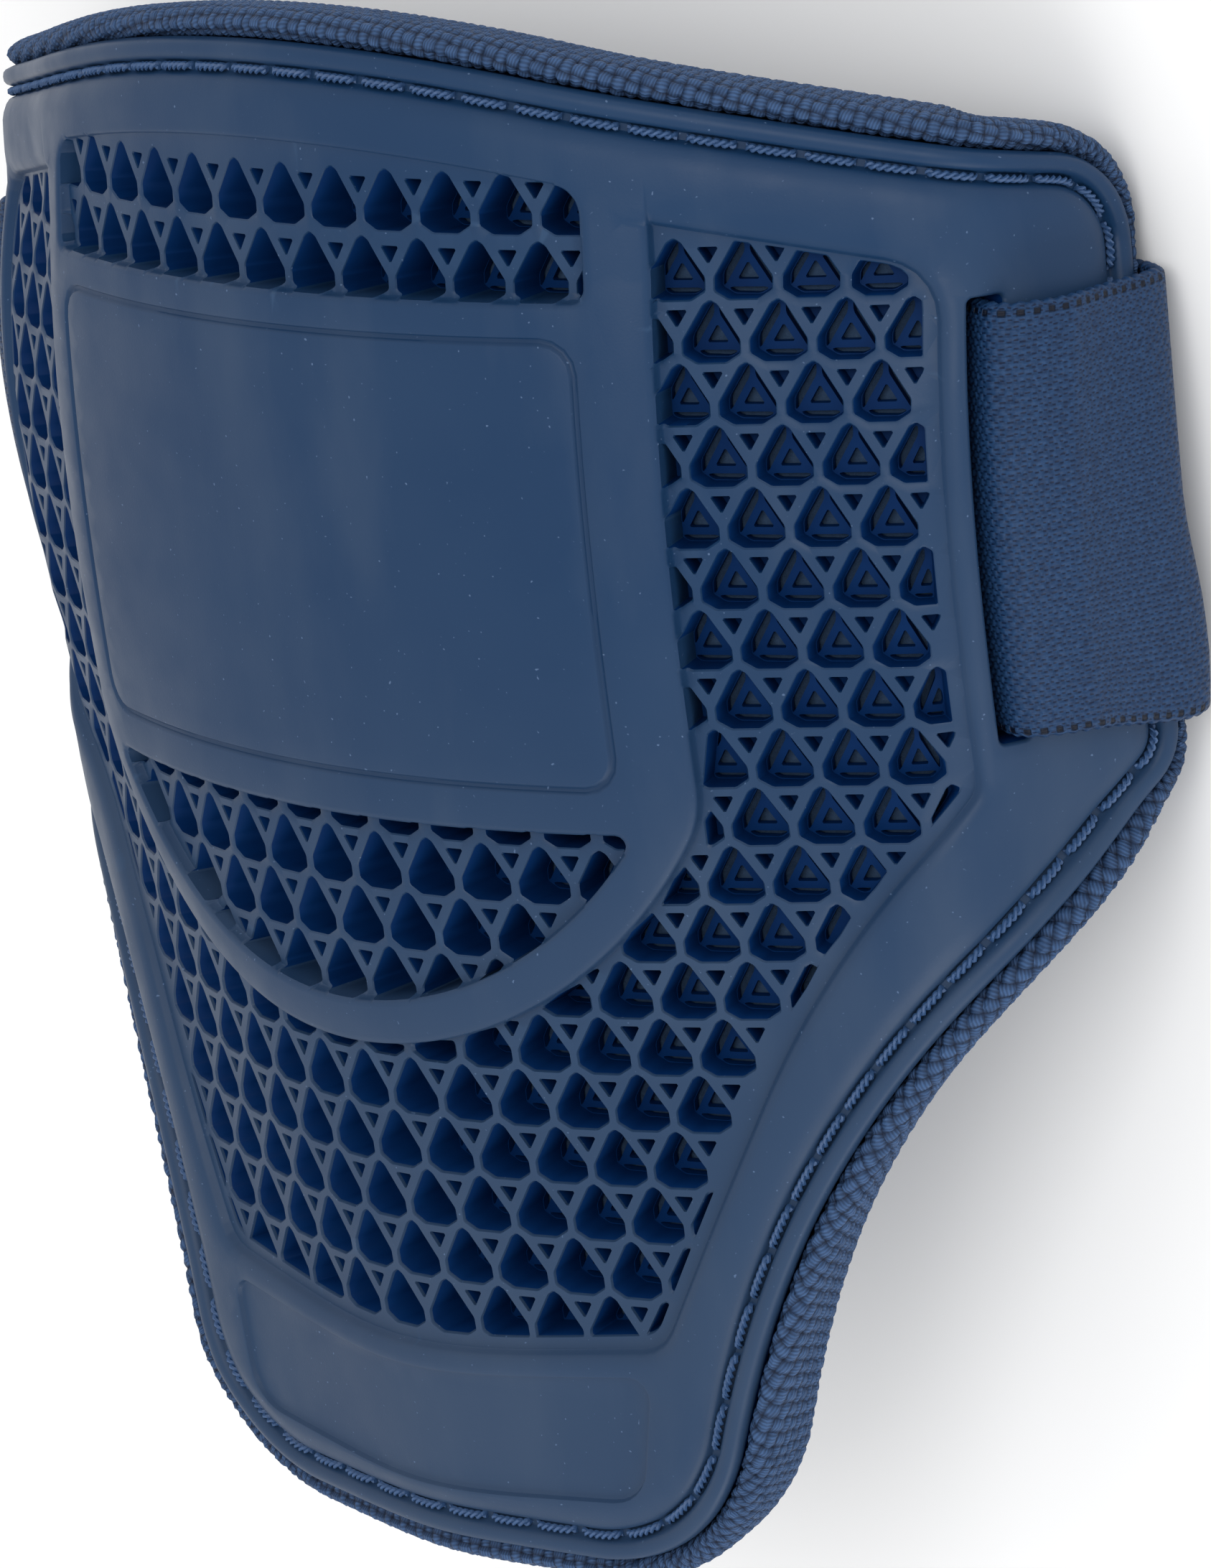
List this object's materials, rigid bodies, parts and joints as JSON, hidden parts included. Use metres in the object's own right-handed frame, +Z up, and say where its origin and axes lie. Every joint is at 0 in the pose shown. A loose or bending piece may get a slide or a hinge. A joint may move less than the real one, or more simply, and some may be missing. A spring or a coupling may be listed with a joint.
{
  "type": "elbow guard",
  "caption": "Batter's elbow guard: a curved navy rubber shell with an open lattice and raised shield, over a fabric-covered foam pad with a wide elastic arm strap",
  "frame": {"origin": "bottom centre of the bounding box, on the surface that the guard lies on", "axes": "+X across the guard from ear to ear, +Y from the narrow end to the wide end, +Z up out of the shell's front"},
  "size_m": [0.1474, 0.155, 0.0524],
  "materials": {
    "navy_rubber": "satin moulded",
    "grey_foam": "closed-cell foam",
    "navy_weave": "coarse basket weave",
    "navy_elastic": "knitted elastic"
  },
  "bodies": {
    "root": {"shell": "navy_rubber", "foam": "grey_foam", "cover": "navy_weave", "strap": "navy_elastic"}
  },
  "joints": []
}
